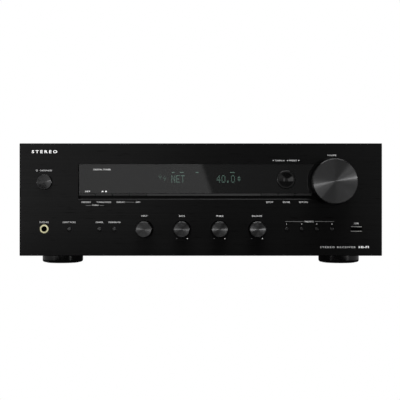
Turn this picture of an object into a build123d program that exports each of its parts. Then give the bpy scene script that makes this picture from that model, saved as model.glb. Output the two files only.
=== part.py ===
from build123d import *
import os

# Stereo receiver. Millimetres, +X to the right seen from the front, the front faces -Y, +Z up.
# The origin is the middle of the whole object's footprint, at the height of the table.

os.makedirs("parts", exist_ok=True)

# ---------------------------------------------------------------- driving dimensions
PANEL_WIDTH = 435.0
PANEL_HEIGHT = 135.0
PANEL_THICKNESS = 4.0
PANEL_CORNER = 0.8
PANEL_BEVEL = 0.25
FOOT_HEIGHT = 10.5  # table to the lower edge of the front panel
VOLUME_PROUD = 30.0  # volume knob in front of the panel
BODY_DEPTH = 278.0  # panel's front face to the rear panel's outer face
POST_PROUD = 20.0  # speaker posts behind the rear panel
SHEET = 1.2  # sheet steel
GAP = 0.35  # running gap around buttons

DEPTH = VOLUME_PROUD + BODY_DEPTH + POST_PROUD
FACE_Y = VOLUME_PROUD - DEPTH / 2  # front panel's front face
REAR_Y = FACE_Y + BODY_DEPTH  # rear panel's outer face
PANEL_BACK_Y = FACE_Y + PANEL_THICKNESS
FRAME_THICKNESS = 3.0
FRAME_INSET = 3.0  # frame's edge inside the panel's edge
FRAME_CORNER = 2.0
FRAME_BACK_Y = PANEL_BACK_Y + FRAME_THICKNESS
BOARD_Y = FACE_Y + 16.0  # control board's front side
BOARD_THICKNESS = 1.6
PANEL_MID_Z = FOOT_HEIGHT + PANEL_HEIGHT / 2


def up(height):
    """Height above the table of a point given above the panel's lower edge."""
    return FOOT_HEIGHT + height


def facing(y):
    """Plane parallel to the front at depth y: local x is +X, local y is +Z, the normal is -Y."""
    return Plane(origin=(0, y, 0), x_dir=(1, 0, 0), z_dir=(0, -1, 0))


def save(piece, name):
    """Labels one finished piece and writes its STEP file."""
    piece.label = name
    export_step(piece, f"parts/{name}.step")


# display window and the slim buttons under it
WINDOW_LEFT = -147.0
WINDOW_TOP = up(110.3)
WINDOW_BOTTOM = up(75.1)
WINDOW_SETBACK = 0.6
WINDOW_THICKNESS = 3.0
WINDOW_GAP = 0.25
WINDOW_SIDE_GAP = 0.9  # shadow line left of the window
RECESS_BOTTOM = up(68.6)
LIP_BEVEL = 1.1
STRIP_Z = up(73.4)
STRIP_HEIGHT = 2.4
STRIP_SETBACK = 0.3
SLIM_WIDTH = 19.6
SLIM_FLANGE_SIDE = 2.0
SLIM_FLANGE_RISE = 1.5
SLIM_CROWN = 0.3
SLIM_BUTTONS = {
    "memory_button": -136.3,
    "tuning_button": -116.0,
    "display_button": -95.7,
    "dimmer_button": -75.4,
    "setup_button": 82.6,
    "enter_button": 102.9,
    "return_button": 123.2,
}
FILLER_LEFT = -64.9
FILLER_RIGHT = 72.1
DISPLAY_WIDTH = 112.0
DISPLAY_HEIGHT = 20.0
DISPLAY_Z = up(93.5)
DISPLAY_THICKNESS = 6.0

# volume knob, cursor pad, small knobs
VOLUME_X = 157.3
VOLUME_Z = up(89.0)
VOLUME_RADIUS = 26.5
VOLUME_RECESS = 29.0
VOLUME_TAIL = 2.5  # skirt behind the panel's face
VOLUME_BEVEL = 0.7
VOLUME_WALL = 2.2
CURSOR_X = 102.3
CURSOR_Z = up(91.5)
CURSOR_RADIUS = 10.85
CURSOR_WINDOW_GAP = 0.45
CURSOR_FRAME_GAP = 0.75
KNOB_PITCH = 45.07
KNOB_Z = up(32.0)
KNOB_RADIUS = 9.6
KNOB_PROUD = 16.5
KNOB_TAIL = 0.8  # skirt behind the panel's face
KNOB_WALL = 1.5
KNOB_BEVEL = 0.8
KNOB_HOLE = 10.6
POINTER_WIDTH = 0.7
POINTER_DEPTH = 0.7
KNOBS = {
    "input_knob": -1.5 * KNOB_PITCH,
    "bass_knob": -0.5 * KNOB_PITCH,
    "treble_knob": 0.5 * KNOB_PITCH,
    "balance_knob": 1.5 * KNOB_PITCH,
}
SHAFT_RADIUS = 3.0
SHAFT_CLEARANCE = 0.05
BOSS_RADIUS = 5.5  # boss inside each knob, round its shaft
POT_SIZE = 13.0
POT_FRONT_Y = FACE_Y + 9.0
BUSH_RADIUS = 4.5
SHAFT_END_Y = FACE_Y + 14.5
SHAFT_END_GAP = 0.3

# gimbal that carries the cursor pad
GIMBAL_Y = PANEL_BACK_Y + FRAME_THICKNESS / 2
GIMBAL_OUTER = 11.1
GIMBAL_INNER = 8.4
GIMBAL_THICKNESS = 2.0
GIMBAL_REACH = 13.0  # ring's upright trunnions, from its middle to their ends
TRUNNION = 0.7
PAD_REACH = 10.2  # pad's level trunnions, from its middle to their ends
CURSOR_PROUD = 0.5
CURSOR_BODY = 3.2
CURSOR_CROWN = 0.6
DISH_RADIUS = 30.0
DISH_DEPTH = 1.3

# push buttons and front sockets
POWER_X = -187.6
POWER_Z = up(88.7)
POWER_RADIUS = 9.05
POWER_PROUD = 2.6
POWER_CROWN = 0.6
POWER_DISH_RADIUS = 40.0
POWER_DISH_DEPTH = 0.85
LOWER_ROW_Z = up(32.2)
MODE_RADIUS = 2.4
PRESET_RADIUS = 2.1
MODE_BUTTONS = {
    "pure_mode_button": -157.8,
    "dimming_button": -121.6,
    "speakers_button": -103.7,
}
PRESET_BUTTONS = {
    "preset_button_1": 103.0,
    "preset_button_2": 121.1,
    "preset_button_3": 139.2,
    "preset_button_4": 157.3,
}
BUTTON_PROUD = 1.1
BUTTON_CROWN = 0.9
BUTTON_FLANGE = 1.5
BUTTON_BACK_Y = FACE_Y + 9.0
STEM_RADIUS = 1.2
STEM_FREE = 1.6  # stem's end to the control board, room for its travel
PHONES_X = -187.9
PHONES_BUSH = 5.3
PHONES_BORE = 3.25
PHONES_DEPTH = 30.0
PHONES_PROUD = 0.5
USB_X = 186.8
USB_WIDTH = 13.2
USB_HEIGHT = 5.8
USB_DEPTH = 15.0
USB_WALL = 0.4

# casing
COVER_INSET = 1.8
COVER_SHEET = 1.0
CHASSIS_WIDTH = 428.0
CHASSIS_FLOOR_Z = FOOT_HEIGHT + 2.0
FLANGE_HEIGHT = 11.0
REAR_WIDTH = 427.0
REAR_BOTTOM_Z = CHASSIS_FLOOR_Z + SHEET
REAR_TOP_Z = up(PANEL_HEIGHT) - COVER_INSET - COVER_SHEET - 0.2
FOOT_X = 172.0
FOOT_RADIUS = 25.0
FOOT_FILLET = 2.8
FOOT_INSET = 45.0
PAD_RADIUS = 20.0
PAD_PROUD = 0.6
PAD_THICKNESS = 1.6
FOOT_SPOTS = [
    (side * FOOT_X, y)
    for side in (-1, 1)
    for y in (FACE_Y + FOOT_INSET, REAR_Y - FOOT_INSET)
]

# rear interfaces, placed across and up the rear panel
RCA_SPOTS = [(x, z) for x in (58.0, 80.0, 102.0, 124.0, 146.0) for z in (up(38.0), up(56.0))]
RCA_RADIUS = 4.15
RCA_BORE = 1.6
RCA_PROUD = 9.5
RCA_DEPTH = 11.0
BLOCK_SPOTS = [(-112.0, up(58.0)), (-34.0, up(58.0))]
BLOCK_WIDTH = 70.0
BLOCK_HEIGHT = 50.0
BLOCK_THICKNESS = 3.0
POST_PITCH_X = 18.0
POST_PITCH_Z = 24.0
POST_RADIUS = 3.0
POST_BORE = 2.0
POST_BORE_DEPTH = 14.0
POST_TAIL = 9.0  # post inside the casing
CAP_RADIUS = 6.4
CAP_FLUTE = 1.1
INLET_X = -176.0
INLET_Z = up(42.0)
INLET_WIDTH = 24.6
INLET_HEIGHT = 16.6
INLET_DEPTH = 16.0
NETWORK_X = 76.0
SOCKET_Z = up(92.0)
NETWORK_WIDTH = 11.8
NETWORK_HEIGHT = 8.2
NETWORK_DEPTH = 14.0
OPTICAL_SPOTS = [(112.0, SOCKET_Z), (132.0, SOCKET_Z)]
AERIAL_SOCKET_X = 165.0
AERIAL_X = 200.0
AERIAL_Z = up(116.0)
AERIAL_RADIUS = 7.0
BLADE_LENGTH = 96.0
BLADE_WIDTH = 6.0
BLADE_THICKNESS = 5.0
PIVOT_BACK = 8.5
SCREW_HEAD = 2.9
SCREW_HEAD_HEIGHT = 1.7
SCREW_SHANK = 1.4
SCREW_HOLE = 1.6
REAR_SCREWS = [
    (-205.0, up(8.0)),
    (-140.0, up(8.0)),
    (-70.0, up(8.0)),
    (0.0, up(8.0)),
    (70.0, up(8.0)),
    (140.0, up(8.0)),
    (205.0, up(8.0)),
    (-205.0, up(74.0)),
    (205.0, up(74.0)),
    (-73.0, up(58.0)),
    (-150.0, up(124.0)),
    (-50.0, up(124.0)),
    (50.0, up(124.0)),
    (150.0, up(124.0)),
]
COVER_SCREW_Y = [FACE_Y + 60.0, REAR_Y - 40.0]
COVER_SCREW_Z = up(24.0)


# ---------------------------------------------------------------- front panel and frame
def recess_outline():
    """Display recess running into the round volume recess."""
    with Locations(((WINDOW_LEFT + VOLUME_X) / 2, (RECESS_BOTTOM + WINDOW_TOP) / 2)):
        Rectangle(VOLUME_X - WINDOW_LEFT, WINDOW_TOP - RECESS_BOTTOM, mode=Mode.SUBTRACT)
    with Locations((VOLUME_X, VOLUME_Z)):
        Circle(VOLUME_RECESS, mode=Mode.SUBTRACT)


def round_holes(spots, radius):
    with Locations(*spots):
        Circle(radius, mode=Mode.SUBTRACT)


KNOB_SPOTS = [(x, KNOB_Z) for x in KNOBS.values()]
ROTARY_SPOTS = KNOB_SPOTS + [(VOLUME_X, VOLUME_Z)]
MODE_SPOTS = [(x, LOWER_ROW_Z) for x in MODE_BUTTONS.values()]
PRESET_SPOTS = [(x, LOWER_ROW_Z) for x in PRESET_BUTTONS.values()]

with BuildPart() as front_panel:
    with BuildSketch(facing(FACE_Y)):
        with Locations((0, PANEL_MID_Z)):
            RectangleRounded(PANEL_WIDTH, PANEL_HEIGHT, PANEL_CORNER)
        recess_outline()
        round_holes(KNOB_SPOTS, KNOB_HOLE)
        round_holes([(POWER_X, POWER_Z)], POWER_RADIUS + GAP)
        round_holes(MODE_SPOTS, MODE_RADIUS + GAP)
        round_holes(PRESET_SPOTS, PRESET_RADIUS + GAP)
        round_holes([(PHONES_X, LOWER_ROW_Z)], PHONES_BUSH + SHAFT_CLEARANCE)
        with Locations((USB_X, LOWER_ROW_Z)):
            Rectangle(USB_WIDTH + GAP, USB_HEIGHT + GAP, mode=Mode.SUBTRACT)
    extrude(amount=-PANEL_THICKNESS)
    front_face = front_panel.faces().sort_by(Axis.Y)[0]
    chamfer(front_face.outer_wire().edges(), PANEL_BEVEL)
    front_face = front_panel.faces().sort_by(Axis.Y)[0]
    lip = front_face.edges().filter_by(Axis.X).sort_by(lambda e: abs(e.center().Z - RECESS_BOTTOM))[0]
    chamfer(lip, LIP_BEVEL)
save(front_panel.part, "front_panel")

with BuildPart() as front_frame:
    with BuildSketch(facing(PANEL_BACK_Y)):
        with Locations((0, PANEL_MID_Z)):
            RectangleRounded(PANEL_WIDTH - 2 * FRAME_INSET, PANEL_HEIGHT - 2 * FRAME_INSET, FRAME_CORNER)
        with Locations((0, DISPLAY_Z)):
            Rectangle(DISPLAY_WIDTH, DISPLAY_HEIGHT, mode=Mode.SUBTRACT)
        round_holes(ROTARY_SPOTS, BUSH_RADIUS + 0.2)
        round_holes([(POWER_X, POWER_Z)], POWER_RADIUS + GAP)
        round_holes(MODE_SPOTS, MODE_RADIUS + GAP)
        round_holes(PRESET_SPOTS, PRESET_RADIUS + GAP)
        round_holes([(PHONES_X, LOWER_ROW_Z)], PHONES_BUSH + SHAFT_CLEARANCE)
        round_holes([(CURSOR_X, CURSOR_Z)], CURSOR_RADIUS + CURSOR_FRAME_GAP)
        with Locations((USB_X, LOWER_ROW_Z)):
            Rectangle(USB_WIDTH + GAP, USB_HEIGHT + GAP, mode=Mode.SUBTRACT)
        with Locations(*[(x, STRIP_Z) for x in SLIM_BUTTONS.values()]):
            Rectangle(SLIM_WIDTH + GAP, STRIP_HEIGHT + 2 * GAP, mode=Mode.SUBTRACT)
    extrude(amount=-FRAME_THICKNESS)
    # blank filler between the two groups of slim buttons, standing in the panel's recess
    with BuildSketch(facing(PANEL_BACK_Y)):
        with Locations(((FILLER_LEFT + FILLER_RIGHT) / 2, STRIP_Z)):
            Rectangle(FILLER_RIGHT - FILLER_LEFT, STRIP_HEIGHT)
    extrude(amount=PANEL_THICKNESS - STRIP_SETBACK)
    # sockets for the upright trunnions of the cursor's gimbal ring
    with BuildSketch(Plane.XY.offset(CURSOR_Z)):
        with Locations((CURSOR_X, GIMBAL_Y)):
            Circle(TRUNNION + SHAFT_CLEARANCE)
    extrude(amount=GIMBAL_REACH + 1.0, both=True, mode=Mode.SUBTRACT)
save(front_frame.part, "front_frame")

with BuildPart() as display_window:
    with BuildSketch(facing(FACE_Y + WINDOW_SETBACK)):
        left = WINDOW_LEFT + WINDOW_SIDE_GAP
        top = WINDOW_TOP - WINDOW_GAP
        with Locations(((left + VOLUME_X) / 2, (WINDOW_BOTTOM + top) / 2)):
            Rectangle(VOLUME_X - left, top - WINDOW_BOTTOM)
        round_holes([(VOLUME_X, VOLUME_Z)], VOLUME_RECESS)
        round_holes([(CURSOR_X, CURSOR_Z)], CURSOR_RADIUS + CURSOR_WINDOW_GAP)
        with Locations((VOLUME_X + VOLUME_RECESS, VOLUME_Z)):
            Rectangle(2 * VOLUME_RECESS, 2 * VOLUME_RECESS, mode=Mode.SUBTRACT)
    extrude(amount=-WINDOW_THICKNESS)
save(display_window.part, "display_window")

with BuildPart() as display_module:
    with BuildSketch(facing(PANEL_BACK_Y + 0.4)):
        with Locations((0, DISPLAY_Z)):
            RectangleRounded(DISPLAY_WIDTH - 1, DISPLAY_HEIGHT - 1, 1.0)
    extrude(amount=-DISPLAY_THICKNESS)
save(display_module.part, "display_module")


# ---------------------------------------------------------------- rotary controls and knobs
with BuildPart() as rotary_controls:
    with BuildSketch(facing(POT_FRONT_Y)):
        with Locations(*ROTARY_SPOTS):
            RectangleRounded(POT_SIZE, POT_SIZE, 1.0)
    extrude(amount=-(BOARD_Y - POT_FRONT_Y))
    with BuildSketch(facing(PANEL_BACK_Y)):
        with Locations(*ROTARY_SPOTS):
            Circle(BUSH_RADIUS)
    extrude(amount=-(POT_FRONT_Y - PANEL_BACK_Y))
    with BuildSketch(facing(PANEL_BACK_Y)):
        with Locations(*ROTARY_SPOTS):
            Circle(SHAFT_RADIUS + SHAFT_CLEARANCE)
    extrude(amount=-(SHAFT_END_Y + SHAFT_END_GAP - PANEL_BACK_Y), mode=Mode.SUBTRACT)
save(rotary_controls.part, "rotary_controls")


def turned_knob(x, z, radius, proud, tail, bevel, wall, pointer):
    """Hollow turned knob on its round shaft; the pointer is a fine groove at the top of the bevel."""
    front_y = FACE_Y - proud
    back_y = FACE_Y + tail
    hollow = proud + tail - 3 * wall
    with BuildPart() as knob:
        with BuildSketch(facing(front_y)):
            with Locations((x, z)):
                Circle(radius)
        extrude(amount=-(back_y - front_y))
        chamfer(knob.faces().sort_by(Axis.Y)[0].edges(), bevel)
        with BuildSketch(facing(back_y)):
            with Locations((x, z)):
                Circle(radius - wall)
                Circle(BOSS_RADIUS, mode=Mode.SUBTRACT)
        extrude(amount=hollow, mode=Mode.SUBTRACT)
        with BuildSketch(facing(back_y)):
            with Locations((x, z)):
                Circle(SHAFT_RADIUS)
        extrude(amount=hollow, mode=Mode.SUBTRACT)
        if pointer:
            with BuildSketch(facing(front_y)):
                with Locations((x, z + radius)):
                    Rectangle(POINTER_WIDTH, 3 * bevel)
            extrude(amount=-POINTER_DEPTH, mode=Mode.SUBTRACT)
    with BuildPart() as shaft:
        with BuildSketch(facing(SHAFT_END_Y)):
            with Locations((x, z)):
                Circle(SHAFT_RADIUS)
        extrude(amount=SHAFT_END_Y - back_y + hollow)
    return Compound([knob.part.solid(), shaft.part.solid()])


volume_knob = turned_knob(
    VOLUME_X, VOLUME_Z, VOLUME_RADIUS, VOLUME_PROUD, VOLUME_TAIL, VOLUME_BEVEL, VOLUME_WALL, False
)
save(volume_knob, "volume_knob")
for knob_name, knob_x in KNOBS.items():
    has_pointer = knob_name != "input_knob"
    knob = turned_knob(
        knob_x, KNOB_Z, KNOB_RADIUS, KNOB_PROUD, KNOB_TAIL, KNOB_BEVEL, KNOB_WALL, has_pointer
    )
    save(knob, knob_name)


# ---------------------------------------------------------------- push buttons
def round_button(x, z, radius, proud, crown, dish=0.0):
    """Round push button with a retaining flange behind the frame and a stem to its switch."""
    with BuildPart() as button:
        with BuildSketch(facing(BUTTON_BACK_Y)):
            with Locations((x, z)):
                Circle(radius)
        extrude(amount=BUTTON_BACK_Y - FACE_Y + proud)
        fillet(button.faces().sort_by(Axis.Y)[0].edges(), crown)
        with BuildSketch(facing(BUTTON_BACK_Y)):
            with Locations((x, z)):
                Circle(radius + BUTTON_FLANGE)
        extrude(amount=BUTTON_BACK_Y - FRAME_BACK_Y - GAP)
        with BuildSketch(facing(BUTTON_BACK_Y)):
            with Locations((x, z)):
                Circle(STEM_RADIUS)
        extrude(amount=-(BOARD_Y - BUTTON_BACK_Y - STEM_FREE))
        if dish:
            with Locations((x, FACE_Y - proud - POWER_DISH_RADIUS + dish, z)):
                Sphere(POWER_DISH_RADIUS, mode=Mode.SUBTRACT)
    return button.part


power_button = round_button(
    POWER_X, POWER_Z, POWER_RADIUS, POWER_PROUD, POWER_CROWN, POWER_DISH_DEPTH
)
save(power_button, "power_button")
for button_name, button_x in MODE_BUTTONS.items():
    save(round_button(button_x, LOWER_ROW_Z, MODE_RADIUS, BUTTON_PROUD, BUTTON_CROWN), button_name)
for button_name, button_x in PRESET_BUTTONS.items():
    save(round_button(button_x, LOWER_ROW_Z, PRESET_RADIUS, BUTTON_PROUD, BUTTON_CROWN), button_name)


def slim_button(x):
    """Slim bar button under the window, with a retaining flange and a stem to its switch."""
    with BuildPart() as button:
        with BuildSketch(facing(BUTTON_BACK_Y)):
            with Locations((x, STRIP_Z)):
                Rectangle(SLIM_WIDTH, STRIP_HEIGHT)
        extrude(amount=BUTTON_BACK_Y - FACE_Y - STRIP_SETBACK)
        fillet(button.faces().sort_by(Axis.Y)[0].edges(), SLIM_CROWN)
        with BuildSketch(facing(BUTTON_BACK_Y)):
            with Locations((x, STRIP_Z)):
                Rectangle(SLIM_WIDTH - 2 * SLIM_FLANGE_SIDE, STRIP_HEIGHT + 2 * SLIM_FLANGE_RISE)
        extrude(amount=BUTTON_BACK_Y - FRAME_BACK_Y - GAP)
        with BuildSketch(facing(BUTTON_BACK_Y)):
            with Locations((x, STRIP_Z)):
                Circle(STEM_RADIUS)
        extrude(amount=-(BOARD_Y - BUTTON_BACK_Y - STEM_FREE))
    return button.part


for button_name, button_x in SLIM_BUTTONS.items():
    save(slim_button(button_x), button_name)


# ---------------------------------------------------------------- cursor pad on its gimbal
with BuildPart() as cursor_pivot:
    with BuildSketch(facing(GIMBAL_Y - GIMBAL_THICKNESS / 2)):
        with Locations((CURSOR_X, CURSOR_Z)):
            Circle(GIMBAL_OUTER)
            Circle(GIMBAL_INNER, mode=Mode.SUBTRACT)
    extrude(amount=-GIMBAL_THICKNESS)
    with BuildSketch(Plane.XY.offset(CURSOR_Z)):
        with Locations((CURSOR_X, GIMBAL_Y)):
            Circle(TRUNNION)
    extrude(amount=GIMBAL_REACH, both=True)
    with BuildSketch(facing(GIMBAL_Y - GIMBAL_THICKNESS)):
        with Locations((CURSOR_X, CURSOR_Z)):
            Circle(GIMBAL_INNER)
    extrude(amount=-2 * GIMBAL_THICKNESS, mode=Mode.SUBTRACT)
    with BuildSketch(Plane.YZ.offset(CURSOR_X)):
        with Locations((GIMBAL_Y, CURSOR_Z)):
            Circle(TRUNNION + SHAFT_CLEARANCE)
    extrude(amount=PAD_REACH + 0.2, both=True, mode=Mode.SUBTRACT)
save(cursor_pivot.part, "cursor_pivot")

with BuildPart() as cursor_pad:
    with BuildSketch(facing(FACE_Y - CURSOR_PROUD)):
        with Locations((CURSOR_X, CURSOR_Z)):
            Circle(CURSOR_RADIUS)
    extrude(amount=-(CURSOR_BODY + CURSOR_PROUD))
    fillet(cursor_pad.faces().sort_by(Axis.Y)[0].edges(), CURSOR_CROWN)
    with BuildSketch(facing(FACE_Y + CURSOR_BODY)):
        with Locations((CURSOR_X, CURSOR_Z)):
            Circle(GIMBAL_INNER - CURSOR_PROUD)
    extrude(amount=-(GIMBAL_Y + GIMBAL_THICKNESS / 2 - FACE_Y - CURSOR_BODY))
    with BuildSketch(Plane.YZ.offset(CURSOR_X)):
        with Locations((GIMBAL_Y, CURSOR_Z)):
            Circle(TRUNNION)
    extrude(amount=PAD_REACH, both=True)
    # concave face, the cap of a large ball
    with Locations((CURSOR_X, FACE_Y - CURSOR_PROUD - DISH_RADIUS + DISH_DEPTH, CURSOR_Z)):
        Sphere(DISH_RADIUS, mode=Mode.SUBTRACT)
save(cursor_pad.part, "cursor_pad")

# ---------------------------------------------------------------- front sockets
PHONES_BODY_WIDTH = 15.0
PHONES_BODY_HEIGHT = 13.0
PHONES_SEAT_Y = FRAME_BACK_Y + 2.6  # front of the jack's body, behind its nut
NUT_RADIUS = 8.0
NUT_HEIGHT = 2.2
USB_FRONT_Y = FACE_Y + 0.2
USB_END_WALL = 1.5
USB_TONGUE_SETBACK = 4.8
USB_TONGUE_RISE = 0.7
USB_TONGUE_HEIGHT = 1.8
USB_TONGUE_SIDE = 1.1
BOARD_SIDE_ROOM = 8.0
BOARD_END_ROOM = 11.0
CUTOUT_ROOM = 2.0

with BuildPart() as phones_jack:
    with BuildSketch(facing(PHONES_SEAT_Y)):
        with Locations((PHONES_X, LOWER_ROW_Z)):
            RectangleRounded(PHONES_BODY_WIDTH, PHONES_BODY_HEIGHT, 1.0)
    extrude(amount=-(PHONES_DEPTH - 5.0))
    with BuildSketch(facing(FACE_Y - PHONES_PROUD)):
        with Locations((PHONES_X, LOWER_ROW_Z)):
            Circle(PHONES_BUSH)
    extrude(amount=-(PHONES_SEAT_Y - FACE_Y + PHONES_PROUD))
    fillet(phones_jack.faces().sort_by(Axis.Y)[0].edges(), 0.5)
    with BuildSketch(facing(FACE_Y - PHONES_PROUD)):
        with Locations((PHONES_X, LOWER_ROW_Z)):
            Circle(PHONES_BORE)
    extrude(amount=-PHONES_DEPTH, mode=Mode.SUBTRACT)
save(phones_jack.part, "phones_jack")

with BuildPart() as phones_nut:
    with BuildSketch(facing(FRAME_BACK_Y + 0.1)):
        with Locations((PHONES_X, LOWER_ROW_Z)):
            RegularPolygon(NUT_RADIUS, 6)
            Circle(PHONES_BUSH + SHAFT_CLEARANCE, mode=Mode.SUBTRACT)
    extrude(amount=-NUT_HEIGHT)
save(phones_nut.part, "phones_nut")

with BuildPart() as usb_socket:
    with BuildSketch(facing(USB_FRONT_Y)):
        with Locations((USB_X, LOWER_ROW_Z)):
            RectangleRounded(USB_WIDTH, USB_HEIGHT, 0.5)
    extrude(amount=-USB_DEPTH)
    with BuildSketch(facing(USB_FRONT_Y)):
        with Locations((USB_X, LOWER_ROW_Z)):
            Rectangle(USB_WIDTH - 2 * USB_WALL, USB_HEIGHT - 2 * USB_WALL)
    extrude(amount=-(USB_DEPTH - USB_END_WALL), mode=Mode.SUBTRACT)
    with BuildSketch(facing(USB_FRONT_Y + USB_TONGUE_SETBACK)):
        with Locations((USB_X, LOWER_ROW_Z + USB_TONGUE_RISE)):
            Rectangle(USB_WIDTH - 2 * USB_TONGUE_SIDE, USB_TONGUE_HEIGHT)
    extrude(amount=-(USB_DEPTH - USB_TONGUE_SETBACK - 1.0))
save(usb_socket.part, "usb_socket")

with BuildPart() as control_board:
    with BuildSketch(facing(BOARD_Y)):
        with Locations((0, PANEL_MID_Z)):
            Rectangle(PANEL_WIDTH - 2 * BOARD_SIDE_ROOM, PANEL_HEIGHT - 2 * BOARD_END_ROOM)
        with Locations((PHONES_X, LOWER_ROW_Z)):
            Rectangle(PHONES_BODY_WIDTH + CUTOUT_ROOM, PHONES_BODY_HEIGHT + CUTOUT_ROOM, mode=Mode.SUBTRACT)
        with Locations((USB_X, LOWER_ROW_Z)):
            Rectangle(USB_WIDTH + CUTOUT_ROOM, USB_HEIGHT + CUTOUT_ROOM, mode=Mode.SUBTRACT)
    extrude(amount=-BOARD_THICKNESS)
save(control_board.part, "control_board")

# ---------------------------------------------------------------- casing
CHASSIS_FRONT_Y = FRAME_BACK_Y + 1.0
CHASSIS_BACK_Y = REAR_Y - SHEET
CHASSIS_MID_Y = (CHASSIS_FRONT_Y + CHASSIS_BACK_Y) / 2
CHASSIS_LENGTH = CHASSIS_BACK_Y - CHASSIS_FRONT_Y
FLOOR_SLOT_LENGTH = 70.0
FLOOR_SLOT_WIDTH = 3.0
REAR_SLOT_LENGTH = 22.0
TOP_SLOT_WIDTH = 3.2
TOP_SLOT_LENGTH = 32.0
SLOT_PITCH = 8.0
SLOT_ROW_PITCH = 38.0
SOCKET_ROOM = 0.2  # rear panel's cut-outs, all round each socket
RCA_BODY_WIDTH = 12.0
RCA_BODY_HEIGHT = 14.0
RCA_BODY_DEPTH = 9.0
BLOCK_EDGE = 4.5  # block's face over the rear panel's cut-out
INLET_WALL = 1.8
INLET_RIM = 4.0
NETWORK_SIDE_WALL = 2.0
NETWORK_END_WALL = 2.5
OPTICAL_SIDE = 9.7
OPTICAL_FLAP = 6.6
AERIAL_THREAD = 4.75
SWIVEL_NECK = 3.5

with BuildPart() as bottom_chassis:
    with BuildSketch(Plane.XY.offset(CHASSIS_FLOOR_Z)):
        with Locations((0, CHASSIS_MID_Y)):
            Rectangle(CHASSIS_WIDTH, CHASSIS_LENGTH)
            with GridLocations(120.0, 12.0, 3, 6):
                SlotOverall(FLOOR_SLOT_LENGTH, FLOOR_SLOT_WIDTH, mode=Mode.SUBTRACT)
    extrude(amount=SHEET)
    with BuildSketch(Plane.XY.offset(CHASSIS_FLOOR_Z)):
        for side in (-1, 1):
            with Locations((side * (CHASSIS_WIDTH - SHEET) / 2, CHASSIS_MID_Y)):
                Rectangle(SHEET, CHASSIS_LENGTH)
    extrude(amount=FLANGE_HEIGHT)
    with BuildSketch(Plane.XY.offset(CHASSIS_FLOOR_Z)):
        with Locations((0, CHASSIS_FRONT_Y + SHEET / 2)):
            Rectangle(CHASSIS_WIDTH, SHEET)
    extrude(amount=FLANGE_HEIGHT)
save(bottom_chassis.part, "bottom_chassis")

with BuildPart() as rear_panel:
    with BuildSketch(facing(REAR_Y)):
        with Locations((0, (REAR_BOTTOM_Z + REAR_TOP_Z) / 2)):
            Rectangle(REAR_WIDTH, REAR_TOP_Z - REAR_BOTTOM_Z)
        round_holes(RCA_SPOTS, RCA_RADIUS + SOCKET_ROOM)
        with Locations(*BLOCK_SPOTS):
            block_hole = (BLOCK_WIDTH - 2 * BLOCK_EDGE, BLOCK_HEIGHT - 2 * BLOCK_EDGE)
            Rectangle(block_hole[0] + SOCKET_ROOM, block_hole[1] + SOCKET_ROOM, mode=Mode.SUBTRACT)
        with Locations((INLET_X, INLET_Z)):
            inlet_hole = (INLET_WIDTH + 2 * INLET_WALL, INLET_HEIGHT + 2 * INLET_WALL)
            Rectangle(inlet_hole[0] + SOCKET_ROOM, inlet_hole[1] + SOCKET_ROOM, mode=Mode.SUBTRACT)
        with Locations((NETWORK_X, SOCKET_Z)):
            network_body = (NETWORK_WIDTH + 2 * NETWORK_SIDE_WALL, NETWORK_HEIGHT + 2 * NETWORK_END_WALL)
            Rectangle(network_body[0] + SOCKET_ROOM, network_body[1] + SOCKET_ROOM, mode=Mode.SUBTRACT)
        with Locations(*OPTICAL_SPOTS):
            Rectangle(OPTICAL_SIDE + SOCKET_ROOM, OPTICAL_SIDE + SOCKET_ROOM, mode=Mode.SUBTRACT)
        round_holes([(AERIAL_SOCKET_X, SOCKET_Z)], AERIAL_THREAD + SOCKET_ROOM)
        round_holes([(-AERIAL_X, AERIAL_Z), (AERIAL_X, AERIAL_Z)], SWIVEL_NECK + SHAFT_CLEARANCE)
        round_holes(REAR_SCREWS, SCREW_HOLE)
        with Locations((-73.0, up(106.0))):
            with GridLocations(SLOT_PITCH, 0, 20, 1):
                SlotOverall(REAR_SLOT_LENGTH, FLOOR_SLOT_WIDTH, rotation=90, mode=Mode.SUBTRACT)
    extrude(amount=SHEET)
save(rear_panel.part, "rear_panel")

COVER_OUTER = PANEL_WIDTH - 2 * COVER_INSET
COVER_TOP_Z = up(PANEL_HEIGHT) - COVER_INSET
COVER_FRONT_Y = PANEL_BACK_Y + 0.2
COVER_BACK_Y = REAR_Y + 4.0
COVER_SKIRT_Z = FOOT_HEIGHT + 3.4
COVER_RADIUS = 2.0

with BuildPart() as top_cover:
    with BuildSketch(facing(COVER_FRONT_Y)):
        with BuildLine():
            half = COVER_OUTER / 2
            FilletPolyline(
                (-half, COVER_SKIRT_Z),
                (-half, COVER_TOP_Z),
                (half, COVER_TOP_Z),
                (half, COVER_SKIRT_Z),
                radius=COVER_RADIUS,
            )
            offset(amount=-COVER_SHEET, side=Side.RIGHT)
        make_face()
    extrude(amount=-(COVER_BACK_Y - COVER_FRONT_Y))
    # banks of cooling slots in the top, over the heat sink and the transformer
    with BuildSketch(Plane.XY.offset(COVER_TOP_Z)):
        with Locations((60.0, FACE_Y + 168.0)):
            with GridLocations(SLOT_PITCH, SLOT_ROW_PITCH, 26, 4):
                SlotOverall(TOP_SLOT_LENGTH, TOP_SLOT_WIDTH, rotation=90)
        with Locations((-140.0, FACE_Y + 206.0)):
            with GridLocations(SLOT_PITCH, SLOT_ROW_PITCH, 10, 2):
                SlotOverall(TOP_SLOT_LENGTH, TOP_SLOT_WIDTH, rotation=90)
    extrude(amount=-2 * COVER_SHEET, mode=Mode.SUBTRACT)
    # screw holes through both sides
    with BuildSketch(Plane.YZ):
        with Locations(*[(y, COVER_SCREW_Z) for y in COVER_SCREW_Y]):
            Circle(SCREW_HOLE)
    extrude(amount=COVER_OUTER, both=True, mode=Mode.SUBTRACT)
save(top_cover.part, "top_cover")

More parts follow.
